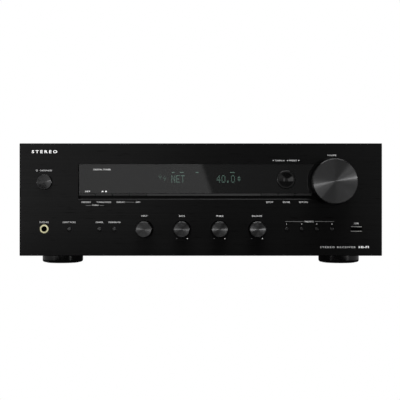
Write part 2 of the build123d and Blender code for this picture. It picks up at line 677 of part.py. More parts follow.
with BuildPart() as feet:
    with BuildSketch(Plane.XY.offset(PAD_PROUD)):
        with Locations(*FOOT_SPOTS):
            Circle(FOOT_RADIUS)
    extrude(amount=CHASSIS_FLOOR_Z - PAD_PROUD)
    fillet(feet.edges().group_by(Axis.Z)[0], FOOT_FILLET)
    with BuildSketch(Plane.XY.offset(PAD_PROUD)):
        with Locations(*FOOT_SPOTS):
            Circle(PAD_RADIUS)
    extrude(amount=PAD_THICKNESS - PAD_PROUD, mode=Mode.SUBTRACT)
save(feet.part, "feet")

with BuildPart() as foot_pads:
    with BuildSketch(Plane.XY):
        with Locations(*FOOT_SPOTS):
            Circle(PAD_RADIUS - 0.1)
    extrude(amount=PAD_THICKNESS)
save(foot_pads.part, "foot_pads")

with BuildPart() as screws:
    with BuildSketch(facing(REAR_Y)):
        with Locations(*REAR_SCREWS):
            Circle(SCREW_HEAD)
    extrude(amount=-SCREW_HEAD_HEIGHT)
    fillet(screws.edges().group_by(Axis.Y)[-1], 0.9)
    with BuildSketch(facing(REAR_Y)):
        with Locations(*REAR_SCREWS):
            Circle(SCREW_SHANK)
    extrude(amount=6.0)
    for side in (-1, 1):
        with BuildSketch(Plane.YZ.offset(side * COVER_OUTER / 2)):
            with Locations(*[(y, COVER_SCREW_Z) for y in COVER_SCREW_Y]):
                Circle(SCREW_HEAD)
        extrude(amount=side * SCREW_HEAD_HEIGHT)
        with BuildSketch(Plane.YZ.offset(side * COVER_OUTER / 2)):
            with Locations(*[(y, COVER_SCREW_Z) for y in COVER_SCREW_Y]):
                Circle(SCREW_SHANK)
        extrude(amount=-side * (COVER_SHEET + 0.3))
save(screws.part, "screws")

# ---------------------------------------------------------------- power supply and amplifier
CORE_X = -140.0
CORE_Y = FACE_Y + 90.0
CORE_WIDTH = 96.0
CORE_HEIGHT = 80.0
CORE_STACK = 46.0
CORE_LEG = 32.0
CORE_WINDOW = 16.0
CORE_Z = CHASSIS_FLOOR_Z + SHEET + CORE_HEIGHT / 2
WINDING_HEIGHT = 47.0
WINDING_THICKNESS = 15.0

with BuildPart() as transformer_core:
    with BuildSketch(facing(CORE_Y - CORE_STACK / 2)):
        with Locations((CORE_X, CORE_Z)):
            Rectangle(CORE_WIDTH, CORE_HEIGHT)
            with GridLocations(CORE_LEG + CORE_WINDOW, 0, 2, 1):
                Rectangle(CORE_WINDOW, WINDING_HEIGHT + 1, mode=Mode.SUBTRACT)
    extrude(amount=-CORE_STACK)
save(transformer_core.part, "transformer_core")

with BuildPart() as transformer_winding:
    with BuildSketch(Plane.XY.offset(CORE_Z - WINDING_HEIGHT / 2)):
        with Locations((CORE_X, CORE_Y)):
            RectangleRounded(CORE_LEG + 2 * WINDING_THICKNESS, CORE_STACK + 2 * WINDING_THICKNESS, 8.0)
            Rectangle(CORE_LEG + 0.6, CORE_STACK + 0.6, mode=Mode.SUBTRACT)
    extrude(amount=WINDING_HEIGHT)
save(transformer_winding.part, "transformer_winding")

SINK_X = 60.0
SINK_Y = FACE_Y + 168.0
SINK_LENGTH = 200.0
SINK_HEIGHT = 84.0
FIN_COUNT = 17
FIN_PITCH = 12.0
FIN_DEPTH = 34.0
FIN_THICKNESS = 2.2
SINK_BASE = 7.0
BOARD_Z = CHASSIS_FLOOR_Z + 12.0
CAPACITOR_RADIUS = 17.5
CAPACITOR_HEIGHT = 52.0

with BuildPart() as heat_sink:
    with BuildSketch(Plane.XY.offset(BOARD_Z + 3.0)):
        with Locations((SINK_X, SINK_Y)):
            Rectangle(SINK_LENGTH, SINK_BASE)
        with Locations((SINK_X, SINK_Y + (SINK_BASE + FIN_DEPTH) / 2)):
            with GridLocations(FIN_PITCH, 0, FIN_COUNT, 1):
                Rectangle(FIN_THICKNESS, FIN_DEPTH)
    extrude(amount=SINK_HEIGHT)
save(heat_sink.part, "heat_sink")

with BuildPart() as output_transistors:
    with BuildSketch(facing(SINK_Y - SINK_BASE / 2)):
        with Locations((SINK_X, BOARD_Z + 40.0)):
            with GridLocations(36.0, 0, 4, 1):
                RectangleRounded(16.0, 20.0, 1.0)
    extrude(amount=5.0)
save(output_transistors.part, "output_transistors")

with BuildPart() as main_board:
    with BuildSketch(Plane.XY.offset(BOARD_Z)):
        with Locations((62.0, FACE_Y + 150.0)):
            Rectangle(280.0, 190.0)
    extrude(amount=BOARD_THICKNESS)
save(main_board.part, "main_board")

with BuildPart() as filter_capacitors:
    with BuildSketch(Plane.XY.offset(BOARD_Z + BOARD_THICKNESS)):
        with Locations((-40.0, FACE_Y + 88.0), (0.0, FACE_Y + 88.0)):
            Circle(CAPACITOR_RADIUS)
    extrude(amount=CAPACITOR_HEIGHT)
    fillet(filter_capacitors.edges().group_by(Axis.Z)[-1], 1.5)
save(filter_capacitors.part, "filter_capacitors")

# ---------------------------------------------------------------- rear sockets
with BuildPart() as rca_jacks:
    with BuildSketch(facing(REAR_Y - SHEET)):
        with Locations(*RCA_SPOTS):
            Rectangle(RCA_BODY_WIDTH, RCA_BODY_HEIGHT)
    extrude(amount=RCA_BODY_DEPTH)
    with BuildSketch(facing(REAR_Y - SHEET)):
        with Locations(*RCA_SPOTS):
            Circle(RCA_RADIUS)
    extrude(amount=-(SHEET + RCA_PROUD))
    with BuildSketch(facing(REAR_Y + RCA_PROUD)):
        with Locations(*RCA_SPOTS):
            Circle(RCA_BORE)
    extrude(amount=RCA_DEPTH, mode=Mode.SUBTRACT)
save(rca_jacks.part, "rca_jacks")

POST_SPOTS = [
    (x + dx, z + dz)
    for x, z in BLOCK_SPOTS
    for dx in (-POST_PITCH_X / 2, POST_PITCH_X / 2)
    for dz in (-POST_PITCH_Z / 2, POST_PITCH_Z / 2)
]

with BuildPart() as speaker_terminal_block:
    with BuildSketch(facing(REAR_Y)):
        with Locations(*BLOCK_SPOTS):
            RectangleRounded(BLOCK_WIDTH, BLOCK_HEIGHT, 2.0)
        round_holes(POST_SPOTS, POST_RADIUS)
    extrude(amount=-BLOCK_THICKNESS)
    with BuildSketch(facing(REAR_Y)):
        with Locations(*BLOCK_SPOTS):
            Rectangle(BLOCK_WIDTH - 2 * BLOCK_EDGE, BLOCK_HEIGHT - 2 * BLOCK_EDGE)
        round_holes(POST_SPOTS, POST_RADIUS)
    extrude(amount=4.0)
save(speaker_terminal_block.part, "speaker_terminal_block")

with BuildPart() as speaker_posts:
    with BuildSketch(facing(REAR_Y - POST_TAIL)):
        with Locations(*POST_SPOTS):
            Circle(POST_RADIUS)
    extrude(amount=-(POST_TAIL + POST_PROUD))
    with BuildSketch(facing(REAR_Y + POST_PROUD)):
        with Locations(*POST_SPOTS):
            Circle(POST_BORE)
    extrude(amount=POST_BORE_DEPTH, mode=Mode.SUBTRACT)
save(speaker_posts.part, "speaker_posts")

CAP_FRONT_Y = REAR_Y + BLOCK_THICKNESS + 0.3
CAP_COLLAR = 2.5
FLUTE_COUNT = 12


def post_cap(x, z):
    """Fluted grip that screws along its post."""
    length = REAR_Y + POST_PROUD - CAP_FRONT_Y
    with BuildPart() as cap:
        with BuildSketch(facing(CAP_FRONT_Y)):
            with Locations((x, z)):
                Circle(CAP_RADIUS)
                with PolarLocations(CAP_RADIUS + 0.4, FLUTE_COUNT):
                    Circle(CAP_FLUTE, mode=Mode.SUBTRACT)
        extrude(amount=-length)
        with BuildSketch(facing(CAP_FRONT_Y)):
            with Locations((x, z)):
                Circle(CAP_RADIUS - 0.1)
        extrude(amount=-CAP_COLLAR)
        with BuildSketch(facing(CAP_FRONT_Y)):
            with Locations((x, z)):
                Circle(POST_RADIUS + SHAFT_CLEARANCE)
        extrude(amount=-length, mode=Mode.SUBTRACT)
    return cap.part


for index, (post_x, post_z) in enumerate(POST_SPOTS):
    save(post_cap(post_x, post_z), f"post_cap_{index + 1}")

PIN_SETBACK = 5.0
INLET_PROUD = 2.0
INLET_BODY_DEPTH = 18.0

with BuildPart() as mains_inlet:
    with BuildSketch(facing(REAR_Y - INLET_BODY_DEPTH)):
        with Locations((INLET_X, INLET_Z)):
            Rectangle(INLET_WIDTH + 2 * INLET_WALL, INLET_HEIGHT + 2 * INLET_WALL)
    extrude(amount=-(INLET_BODY_DEPTH + INLET_PROUD))
    with BuildSketch(facing(REAR_Y)):
        with Locations((INLET_X, INLET_Z)):
            RectangleRounded(INLET_WIDTH + 2 * INLET_RIM, INLET_HEIGHT + 2 * INLET_RIM, 2.0)
    extrude(amount=-INLET_PROUD)
    with BuildSketch(facing(REAR_Y + INLET_PROUD)):
        with Locations((INLET_X, INLET_Z)):
            RectangleRounded(INLET_WIDTH, INLET_HEIGHT, 2.5)
    extrude(amount=INLET_DEPTH, mode=Mode.SUBTRACT)
    with BuildSketch(facing(REAR_Y + INLET_PROUD - INLET_DEPTH)):
        with Locations((INLET_X, INLET_Z)):
            with GridLocations(14.0, 0, 2, 1):
                Rectangle(2.0, 4.0)
    extrude(amount=-(INLET_DEPTH - PIN_SETBACK))
save(mains_inlet.part, "mains_inlet")

with BuildPart() as rear_sockets:
    # network socket
    with BuildSketch(facing(REAR_Y + 0.8)):
        with Locations((NETWORK_X, SOCKET_Z)):
            Rectangle(*network_body)
    extrude(amount=NETWORK_DEPTH + 4)
    with BuildSketch(facing(REAR_Y + 0.8)):
        with Locations((NETWORK_X, SOCKET_Z)):
            Rectangle(NETWORK_WIDTH, NETWORK_HEIGHT)
    extrude(amount=NETWORK_DEPTH, mode=Mode.SUBTRACT)
    # optical inputs, each closed by its dust flap
    with BuildSketch(facing(REAR_Y + 1.4)):
        with Locations(*OPTICAL_SPOTS):
            Rectangle(OPTICAL_SIDE, OPTICAL_SIDE)
    extrude(amount=13.0)
    with BuildSketch(facing(REAR_Y + 1.4)):
        with Locations(*OPTICAL_SPOTS):
            Rectangle(OPTICAL_FLAP, OPTICAL_FLAP)
    extrude(amount=0.8, mode=Mode.SUBTRACT)
    # threaded aerial socket
    with BuildSketch(facing(REAR_Y - 6.0)):
        with Locations((AERIAL_SOCKET_X, SOCKET_Z)):
            Circle(AERIAL_THREAD)
    extrude(amount=-16.0)
    with BuildSketch(facing(REAR_Y)):
        with Locations((AERIAL_SOCKET_X, SOCKET_Z)):
            RegularPolygon(7.0, 6)
    extrude(amount=-1.6)
save(rear_sockets.part, "rear_sockets")

# ---------------------------------------------------------------- folding aerials
PIVOT_Y = REAR_Y + PIVOT_BACK
EAR_THICKNESS = 2.0
EAR_RADIUS = 4.2
PIN_RADIUS = 1.5
BLADE_SHOULDER = 12.0  # pivot to the start of the blade's full width


def aerial_base(x):
    """Swivel base: a disc on the rear panel with a clipped neck, two ears and the fold's pin."""
    ear_x = BLADE_WIDTH / 2 + 0.3 + EAR_THICKNESS / 2
    with BuildPart() as base:
        with BuildSketch(facing(REAR_Y + 0.3)):
            with Locations((x, AERIAL_Z)):
                Circle(AERIAL_RADIUS)
        extrude(amount=-3.0)
        with BuildSketch(facing(REAR_Y + 0.3)):
            with Locations((x, AERIAL_Z)):
                Circle(SWIVEL_NECK)
        extrude(amount=SHEET + 0.6)
        with BuildSketch(facing(REAR_Y - SHEET - 0.3)):
            with Locations((x, AERIAL_Z)):
                Circle(5.5)
        extrude(amount=2.0)
        for side in (-1, 1):
            with BuildSketch(Plane.YZ.offset(x + side * ear_x)):
                with Locations((PIVOT_Y, AERIAL_Z)):
                    Circle(EAR_RADIUS)
                with Locations((PIVOT_Y - PIVOT_BACK / 2 + 0.3, AERIAL_Z)):
                    Rectangle(PIVOT_BACK - 0.6, 2 * EAR_RADIUS)
            extrude(amount=EAR_THICKNESS / 2, both=True)
        with BuildSketch(Plane.YZ.offset(x)):
            with Locations((PIVOT_Y, AERIAL_Z)):
                Circle(PIN_RADIUS)
        extrude(amount=ear_x, both=True)
    return base.part


def aerial_blade(x):
    """Flat blade hanging down from the pin, rounded at its tip."""
    with BuildPart() as blade:
        with BuildSketch(Plane.YZ.offset(x)):
            with Locations((PIVOT_Y, AERIAL_Z)):
                Circle(EAR_RADIUS)
            with Locations((PIVOT_Y, AERIAL_Z - BLADE_LENGTH / 2)):
                Rectangle(BLADE_THICKNESS, BLADE_LENGTH)
        extrude(amount=BLADE_WIDTH / 2, both=True)
        with BuildSketch(facing(PIVOT_Y - BLADE_THICKNESS / 2)):
            with Locations((x, AERIAL_Z - BLADE_SHOULDER - (BLADE_LENGTH - BLADE_SHOULDER) / 2)):
                RectangleRounded(BLADE_WIDTH + 5, BLADE_LENGTH - BLADE_SHOULDER, 3.0)
        extrude(amount=-BLADE_THICKNESS)
        with BuildSketch(Plane.YZ.offset(x)):
            with Locations((PIVOT_Y, AERIAL_Z)):
                Circle(PIN_RADIUS + SHAFT_CLEARANCE)
        extrude(amount=BLADE_WIDTH, both=True, mode=Mode.SUBTRACT)
        fillet(blade.edges().filter_by(Axis.Z).group_by(Axis.Y)[-1], 0.8)
    return blade.part


for side_name, side in (("left", -1), ("right", 1)):
    save(aerial_base(side * AERIAL_X), f"aerial_base_{side_name}")
    save(aerial_blade(side * AERIAL_X), f"aerial_blade_{side_name}")
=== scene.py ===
import math

import bmesh
import bpy
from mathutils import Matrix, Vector


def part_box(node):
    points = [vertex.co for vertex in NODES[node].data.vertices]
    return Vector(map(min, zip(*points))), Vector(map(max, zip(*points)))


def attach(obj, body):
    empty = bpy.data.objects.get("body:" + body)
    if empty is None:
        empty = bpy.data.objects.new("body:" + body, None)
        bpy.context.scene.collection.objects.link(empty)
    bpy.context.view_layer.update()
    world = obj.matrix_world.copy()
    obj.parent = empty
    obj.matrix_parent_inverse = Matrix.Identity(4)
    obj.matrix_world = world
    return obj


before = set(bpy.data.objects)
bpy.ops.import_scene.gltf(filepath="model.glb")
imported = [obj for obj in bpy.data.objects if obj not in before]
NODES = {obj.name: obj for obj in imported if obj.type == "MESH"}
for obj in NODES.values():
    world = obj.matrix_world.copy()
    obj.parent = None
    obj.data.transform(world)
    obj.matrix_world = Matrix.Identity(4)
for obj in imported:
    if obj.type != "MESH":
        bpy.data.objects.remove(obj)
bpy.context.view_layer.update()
SCENE = bpy.context.scene

MM = 0.001
panel_low, panel_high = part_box("front_panel")
FACE_Y = panel_low.y
PANEL_MID = (panel_low + panel_high) / 2
REAR_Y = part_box("rear_panel")[1].y


def up(height):
    """Height in metres of a point given in millimetres above the panel's lower edge."""
    return panel_low.z + height * MM


def middle(node):
    """Middle of a node's box."""
    low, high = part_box(node)
    return (low + high) / 2


# ---------------------------------------------------------------- camera
CAMERA_DISTANCE = 1.12  # from the front panel's face
FRAME_SPAN = 0.4800  # width of the picture at the panel's face
CAMERA_SHIFT_X = -0.9 * MM  # from the panel's middle
CAMERA_SHIFT_Z = -0.5 * MM
SENSOR = 36.0

camera_data = bpy.data.cameras.new("camera")
camera_data.sensor_width = SENSOR
camera_data.lens = SENSOR * CAMERA_DISTANCE / FRAME_SPAN
camera_data.clip_start = 0.01
camera = bpy.data.objects.new("camera", camera_data)
camera.location = (PANEL_MID.x + CAMERA_SHIFT_X, FACE_Y - CAMERA_DISTANCE, PANEL_MID.z + CAMERA_SHIFT_Z)
camera.rotation_euler = (math.radians(90), 0, 0)
SCENE.collection.objects.link(camera)
SCENE.camera = camera
SCENE.view_settings.view_transform = "Standard"


# ---------------------------------------------------------------- node helpers
class Graph:
    """Short calls for building one material's nodes."""

    def __init__(self, name):
        self.material = bpy.data.materials.new(name)
        self.material.use_nodes = True
        self.tree = self.material.node_tree
        self.shader = self.tree.nodes["Principled BSDF"]
        self.place = self.tree.nodes.new("ShaderNodeTexCoord").outputs["Object"]

    def add(self, kind, **values):
        node = self.tree.nodes.new(kind)
        for key, value in values.items():
            setattr(node, key, value)
        return node

    def link(self, source, target):
        self.tree.links.new(source, target)

    def fixed(self, **values):
        for key, value in values.items():
            socket = self.shader.inputs[key.replace("_", " ")]
            socket.default_value = value

    def stretched(self, scale, offset=(0, 0, 0)):
        node = self.add("ShaderNodeMapping")
        node.inputs["Scale"].default_value = scale
        node.inputs["Location"].default_value = offset
        self.link(self.place, node.inputs["Vector"])
        return node.outputs["Vector"]

    def noise(self, vector, scale=1.0, detail=4.0, roughness=0.6):
        node = self.add("ShaderNodeTexNoise")
        node.inputs["Scale"].default_value = scale
        node.inputs["Detail"].default_value = detail
        node.inputs["Roughness"].default_value = roughness
        self.link(vector, node.inputs["Vector"])
        return node.outputs["Fac"]

    def ramp(self, value, low, high, start=0.3, end=0.7):
        node = self.add("ShaderNodeMapRange")
        node.inputs["From Min"].default_value = start
        node.inputs["From Max"].default_value = end
        node.inputs["To Min"].default_value = low
        node.inputs["To Max"].default_value = high
        self.link(value, node.inputs["Value"])
        return node.outputs["Result"]

    def blend(self, value, first, second):
        """Colour between first and second; each is three numbers or another node's output."""
        node = self.add("ShaderNodeMix", data_type="RGBA", clamp_factor=False)
        for socket, colour in ((node.inputs[6], first), (node.inputs[7], second)):
            if isinstance(colour, tuple):
                socket.default_value = (*colour, 1)
            else:
                self.link(colour, socket)
        self.link(value, node.inputs[0])
        return node.outputs[2]

    def maths(self, operation, first, second=None, third=None):
        """One Math node; each operand is a number or another node's output."""
        node = self.add("ShaderNodeMath", operation=operation)
        for index, value in enumerate((first, second, third)):
            if isinstance(value, (int, float)):
                node.inputs[index].default_value = value
            elif value is not None:
                self.link(value, node.inputs[index])
        return node.outputs[0]

    def split(self, vector=None):
        """The three parts of a vector, by default the position in the object's own frame."""
        node = self.add("ShaderNodeSeparateXYZ")
        self.link(vector or self.place, node.inputs[0])
        return node.outputs["X"], node.outputs["Y"], node.outputs["Z"]

    def bump(self, value, strength, distance):
        node = self.add("ShaderNodeBump")
        node.inputs["Strength"].default_value = strength
        node.inputs["Distance"].default_value = distance
        self.link(value, node.inputs["Height"])
        self.link(node.outputs["Normal"], self.shader.inputs["Normal"])

    def set(self, name, output):
        self.link(output, self.shader.inputs[name])


def grey(value):
    return (value, value, value * 1.01)


# ---------------------------------------------------------------- metals
EDGE_SHADE_START = 0.7 * MM  # inside the panel's outline
EDGE_SHADE_END = 0.4 * MM


def brushed_panel():
    """Black anodised aluminium: fine horizontal brushing, longer hairlines and painted shade along the
    outer edge.
    """
    g = Graph("panel_aluminium")
    fine = g.noise(g.stretched((6, 6, 2600)), detail=6.0)
    hair = g.noise(g.stretched((2.2, 2.2, 420), (3.1, 0, 1.7)), detail=3.0)
    cloud = g.noise(g.stretched((3, 3, 5)), detail=2.0)
    grain = g.maths("MULTIPLY_ADD", hair, 0.6, fine)
    brushed = g.blend(g.ramp(grain, 0, 1, 0.5, 1.1), grey(0.0105), grey(0.0165))
    dashes = g.noise(g.stretched((45, 45, 560), (0.7, 0, 2.3)), detail=1.0)
    face = g.blend(g.ramp(dashes, 0, 1, 0.64, 0.78), brushed, grey(0.004))
    x, _, z = g.split()
    half = (panel_high - panel_low) / 2
    beyond_side = g.maths("SUBTRACT", g.maths("ABSOLUTE", g.maths("SUBTRACT", x, PANEL_MID.x)), half.x)
    beyond_end = g.maths("SUBTRACT", g.maths("ABSOLUTE", g.maths("SUBTRACT", z, PANEL_MID.z)), half.z)
    beyond = g.maths("MAXIMUM", beyond_side, beyond_end)
    # painted shade: the face darkens to near black just inside the panel's outline
    painted_edge_mask = g.ramp(beyond, 0, 1, -EDGE_SHADE_START, -EDGE_SHADE_END)
    g.set("Base Color", g.blend(painted_edge_mask, face, grey(0.002)))
    g.set("Roughness", g.ramp(cloud, 0.36, 0.42))
    g.bump(grain, 0.02, 0.0001)
    upright = g.add("ShaderNodeCombineXYZ")
    upright.inputs["Z"].default_value = 1.0
    g.set("Tangent", upright.outputs["Vector"])
    g.fixed(Metallic=0.9, Anisotropic=0.7)
    return g.material


# direction and narrowness of the painted highlight wedges on turned faces
WEDGE_ANGLE = math.radians(42)
WEDGE_SHARPNESS = 70.0
RIM_SHADE_START = 1.0 * MM  # inside a turned face's outline
RIM_SHADE_END = 0.6 * MM


def spun_metal(name, node, turn, tint, roughness, streaks, painted_highlight_strength=0.0):
    """Turned face: grooves run round the centre, so light makes a bright bar across it."""
    g = Graph(name)
    low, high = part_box(node)
    centre = (low + high) / 2
    radius = (high.x - low.x) / 2
    x, _, z = g.split()
    across = g.maths("SUBTRACT", x, centre.x)
    upward = g.maths("SUBTRACT", z, centre.z)
    # radial direction in the face, turned a little because the tool marks spiral
    radial = g.add("ShaderNodeCombineXYZ")
    slanted = g.maths("MULTIPLY", upward, -math.sin(turn))
    g.link(g.maths("MULTIPLY_ADD", across, math.cos(turn), slanted), radial.inputs["X"])
    slanted = g.maths("MULTIPLY", across, math.sin(turn))
    g.link(g.maths("MULTIPLY_ADD", upward, math.cos(turn), slanted), radial.inputs["Z"])
    g.set("Tangent", radial.outputs["Vector"])
    flat = g.add("ShaderNodeCombineXYZ")
    g.link(across, flat.inputs["X"])
    g.link(upward, flat.inputs["Y"])
    unit = g.add("ShaderNodeVectorMath", operation="NORMALIZE")
    g.link(flat.outputs[0], unit.inputs[0])
    angular = g.noise(unit.outputs[0], scale=streaks, detail=5.0)
    length = g.add("ShaderNodeVectorMath", operation="LENGTH")
    g.link(flat.outputs[0], length.inputs[0])
    rings = g.add("ShaderNodeTexNoise", noise_dimensions="1D")
    rings.inputs["Scale"].default_value = 9000.0
    rings.inputs["Detail"].default_value = 2.0
    g.link(length.outputs["Value"], rings.inputs["W"])
    # painted highlights in a pair of opposite wedges
    unit_x, unit_z, _ = g.split(unit.outputs[0])
    along_x = g.maths("MULTIPLY", unit_x, math.cos(WEDGE_ANGLE))
    along = g.maths("MULTIPLY_ADD", unit_z, math.sin(WEDGE_ANGLE), along_x)
    painted_highlight_wedges = g.maths("MULTIPLY", g.maths("POWER", g.maths("ABSOLUTE", along), WEDGE_SHARPNESS), painted_highlight_strength)
    tone = g.maths("ADD", g.ramp(angular, 0, 1), g.maths("MULTIPLY", painted_highlight_wedges, g.ramp(angular, 0.6, 1.6)))
    face = g.blend(tone, tuple(c * 0.85 for c in tint), tuple(c * 1.15 for c in tint))
    # painted shade: the face darkens towards its outline
    painted_rim_shade = g.ramp(length.outputs["Value"], 0, 1, radius - RIM_SHADE_START, radius - RIM_SHADE_END)
    g.set("Base Color", g.blend(painted_rim_shade, face, tuple(c * 0.55 for c in tint)))
    g.set("Roughness", g.ramp(angular, roughness * 0.92, roughness * 1.08))
    g.bump(rings.outputs["Fac"], 0.01, 0.00002)
    g.fixed(Metallic=1.0, Anisotropic=1.0)
    return g.material


def plated(name, colour, roughness):
    g = Graph(name)
    smudge = g.noise(g.stretched((60, 60, 60)), detail=3.0)
    g.set("Base Color", g.blend(g.ramp(smudge, 0, 1), tuple(c * 0.88 for c in colour), colour))
    g.set("Roughness", g.ramp(smudge, roughness * 0.8, roughness * 1.3))
    g.bump(smudge, 0.03, 0.0002)
    g.fixed(Metallic=1.0)
    return g.material


# ---------------------------------------------------------------- plastics, paint, boards
def moulded(name, colour, roughness, grain=900.0, depth=0.12, specular=0.5):
    """Moulded plastic or paint with a fine grain."""
    g = Graph(name)
    speck = g.noise(g.stretched((grain, grain, grain)), detail=3.0)
    cloud = g.noise(g.stretched((22, 22, 22)), detail=2.0)
    darker, paler = (tuple(c * share for c in colour) for share in (0.85, 1.12))
    g.set("Base Color", g.blend(g.ramp(cloud, 0, 1), darker, paler))
    g.set("Roughness", g.ramp(speck, roughness * 0.9, min(1.0, roughness * 1.1)))
    g.bump(speck, depth, 0.0001)
    g.fixed(Specular_IOR_Level=specular)
    return g.material


def frame_plastic():
    """Black moulded frame: a satin filler strip in front, and painted shade in the groove below the
    window.
    """
    g = Graph("frame_plastic")
    speck = g.noise(g.stretched((900, 900, 900)), detail=3.0)
    _, y, z = g.split()
    window_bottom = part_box("display_window")[0].z
    backing = g.blend(g.ramp(speck, 0, 1), grey(0.020), grey(0.026))
    # painted shade: near black below the window's lower edge, where the groove lies in shadow
    painted_groove_shade = g.ramp(z, 1, 0, window_bottom - 0.4 * MM, window_bottom - 0.1 * MM)
    behind = g.blend(painted_groove_shade, backing, grey(0.0005))
    front = g.ramp(y, 1, 0, panel_high.y - 0.3 * MM, panel_high.y - 0.1 * MM)
    g.set("Base Color", g.blend(front, behind, grey(0.048)))
    g.set("Roughness", g.ramp(speck, 0.45, 0.55))
    g.fixed(Specular_IOR_Level=0.1)
    return g.material


def usb_metal():
    """Nickel shell with painted highlights on its top and bottom front edges and painted shade over the
    rest.
    """
    g = Graph("usb_metal")
    low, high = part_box("usb_socket")
    centre = (low + high) / 2
    _, y, z = g.split()
    height = g.maths("ABSOLUTE", g.maths("SUBTRACT", z, centre.z))
    painted_edge_mask = g.ramp(height, 0, 1, (high.z - centre.z) - 0.55 * MM, (high.z - centre.z) - 0.4 * MM)
    front = g.ramp(y, 1, 0, low.y + 0.3 * MM, low.y + 0.9 * MM)
    # painted highlight on the front top and bottom edges, painted shade elsewhere on the shell
    g.set("Base Color", g.blend(g.maths("MULTIPLY", painted_edge_mask, front), grey(0.002), (0.85, 0.85, 0.83)))
    g.set("Roughness", g.ramp(g.noise(g.stretched((900, 900, 900))), 0.35, 0.5))
    g.fixed(Metallic=1.0)
    return g.material


PHONES_BORE = 3.37 * MM  # radius of the dark hole
PHONES_RING = 3.45 * MM  # radius where the gold starts


def gold_jack():
    """Pale gold bush with a faint painted glow; the contact hole inside is dark."""
    g = Graph("gold_jack")
    low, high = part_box("phones_jack")
    centre = (low + high) / 2
    x, y, z = g.split()
    flat = g.add("ShaderNodeCombineXYZ")
    g.link(g.maths("SUBTRACT", x, centre.x), flat.inputs["X"])
    g.link(g.maths("SUBTRACT", z, centre.z), flat.inputs["Z"])
    length = g.add("ShaderNodeVectorMath", operation="LENGTH")
    g.link(flat.outputs[0], length.inputs[0])
    inside = g.ramp(length.outputs["Value"], 1, 0, PHONES_BORE, PHONES_RING)
    smudge = g.noise(g.stretched((300, 300, 300)), detail=2.0)
    gold = g.blend(g.ramp(smudge, 0, 1), (0.62, 0.59, 0.36), (0.72, 0.69, 0.44))
    g.set("Base Color", g.blend(inside, gold, grey(0.0008)))
    # painted glow: the gold gives off a little light of its own, though it is no lamp
    g.set("Emission Color", g.blend(inside, gold, (0.0, 0.0, 0.0)))
    g.set("Roughness", g.ramp(smudge, 0.35, 0.5))
    g.fixed(Metallic=0.6, Emission_Strength=0.08)
    return g.material


def smoked_window():
    g = Graph("smoked_window")
    haze = g.noise(g.stretched((14, 14, 14)), detail=2.0)
    g.set("Base Color", g.blend(g.ramp(haze, 0, 1), (0.0035, 0.0036, 0.0038), (0.0048, 0.0049, 0.005)))
    g.set("Roughness", g.ramp(haze, 0.012, 0.02))
    g.fixed(Alpha=0.8, IOR=1.5)
    return g.material


def circuit_board():
    g = Graph("circuit_board")
    tracks = g.add("ShaderNodeTexBrick")
    tracks.inputs["Scale"].default_value = 90.0
    tracks.inputs["Color1"].default_value = (0.012, 0.075, 0.03, 1)
    tracks.inputs["Color2"].default_value = (0.016, 0.10, 0.038, 1)
    tracks.inputs["Mortar"].default_value = (0.03, 0.16, 0.06, 1)
    g.link(g.place, tracks.inputs["Vector"])
    g.set("Base Color", tracks.outputs["Color"])
    g.bump(tracks.outputs["Fac"], 0.2, 0.0002)
    g.fixed(Roughness=0.35)
    return g.material


def laminated_steel():
    g = Graph("laminated_steel")
    layers = g.noise(g.stretched((1, 1800, 1)), detail=1.0)
    g.set("Base Color", g.blend(g.ramp(layers, 0, 1), grey(0.05), grey(0.16)))
    g.bump(layers, 0.5, 0.0003)
    g.fixed(Metallic=0.7, Roughness=0.5)
    return g.material


def glowing(name, colour, strength):
    """Phosphor that glows a little unevenly."""
    g = Graph(name)
    uneven = g.noise(g.stretched((700, 700, 700)), detail=2.0)
    g.set("Emission Color", g.blend(g.ramp(uneven, 0, 1), tuple(c * 0.7 for c in colour), colour))
    g.fixed(Base_Color=(0.02, 0.05, 0.045, 1), Roughness=0.6, Emission_Strength=strength)
    return g.material


def printed(name, colour, strength):
    """Silk-screened ink, slightly uneven in cover, with a painted glow in its own colour."""
    g = Graph(name)
    cover = g.noise(g.stretched((1500, 1500, 1500)), detail=2.0)
    ink = g.blend(g.ramp(cover, 0, 1), tuple(c * 0.86 for c in colour), colour)
    g.set("Base Color", ink)
    # painted glow: the ink gives off light, though it is no lamp
    g.set("Emission Color", ink)
    g.fixed(Roughness=0.55, Emission_Strength=strength)
    return g.material


# ---------------------------------------------------------------- assign the CAD nodes' materials
def paint(material, *names):
    for name in names:
        slots = NODES[name].data.materials
        slots.clear()
        slots.append(material)


TONE_KNOBS = ("bass_knob", "treble_knob", "balance_knob")
KNOBS = ("input_knob", *TONE_KNOBS)
KNOB_TURNS = {"input_knob": 7.0, "bass_knob": 4.0, "treble_knob": 1.5, "balance_knob": -1.0}
# each knob's tint is set apart to paint the light falling on it; the knobs share one finish
KNOB_LIGHTING_TINTS = {"input_knob": 0.080, "bass_knob": 0.085, "treble_knob": 0.105, "balance_knob": 0.125}
SLIM = (
    "memory_button",
    "tuning_button",
    "display_button",
    "dimmer_button",
    "setup_button",
    "enter_button",
    "return_button",
)
MODE = ("pure_mode_button", "dimming_button", "speakers_button")
PRESETS = tuple(f"preset_button_{index}" for index in range(1, 5))
CAPS = tuple(f"post_cap_{index}" for index in range(1, 9))
AERIALS = tuple(f"aerial_{part}_{side}" for part in ("base", "blade") for side in ("left", "right"))

paint(brushed_panel(), "front_panel")
VOLUME_TURN = math.radians(-17.0)
POWER_TURN = math.radians(-6.0)
# the volume face's last number is the strength of its painted highlight wedges
paint(spun_metal("volume_face", "volume_knob", VOLUME_TURN, grey(0.086), 0.25, 9.0, 2.8), "volume_knob")
paint(spun_metal("power_face", "power_button", POWER_TURN, grey(0.040), 0.22, 2.0), "power_button")
for knob in KNOBS:
    turn = math.radians(KNOB_TURNS[knob])
    paint(spun_metal(knob + "_face", knob, turn, grey(KNOB_LIGHTING_TINTS[knob]), 0.32, 2.0), knob)

